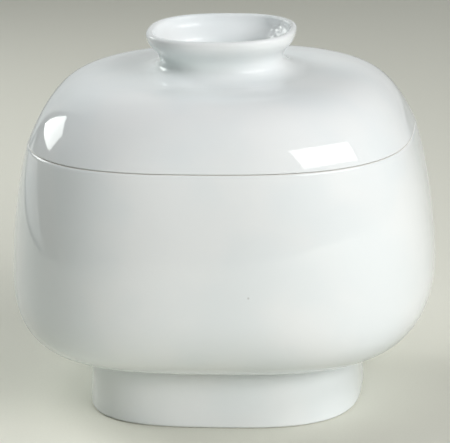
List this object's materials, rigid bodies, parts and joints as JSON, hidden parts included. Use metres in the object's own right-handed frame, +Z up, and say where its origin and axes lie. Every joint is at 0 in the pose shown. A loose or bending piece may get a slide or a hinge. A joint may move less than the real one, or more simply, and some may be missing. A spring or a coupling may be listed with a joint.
{
  "type": "covered casserole dish",
  "caption": "Rounded-square porcelain casserole dish on a hollow foot, with a domed lid that sits on the rim and lifts off by an open flared collar.",
  "frame": {"origin": "centre of the foot's standing face, on the table", "axes": "+Z up along the dish's axis, +X and +Y square to its flat sides, with the side that the picture shows facing -Y"},
  "size_m": [0.21, 0.21, 0.1858],
  "materials": {
    "glazed_porcelain": "white gloss glaze, bare on the foot's standing face and on the rim under the lid"
  },
  "bodies": {
    "dish": {"dish_bowl": "glazed_porcelain", "dish_foot": "glazed_porcelain"},
    "lid": {"lid_dome": "glazed_porcelain", "lid_collar": "glazed_porcelain"}
  },
  "joints": [
    {"name": "lid_lift", "type": "slide", "parent": "dish", "child": "lid", "axis": [0, 0, 1], "range_m": [0, 0.15]}
  ]
}
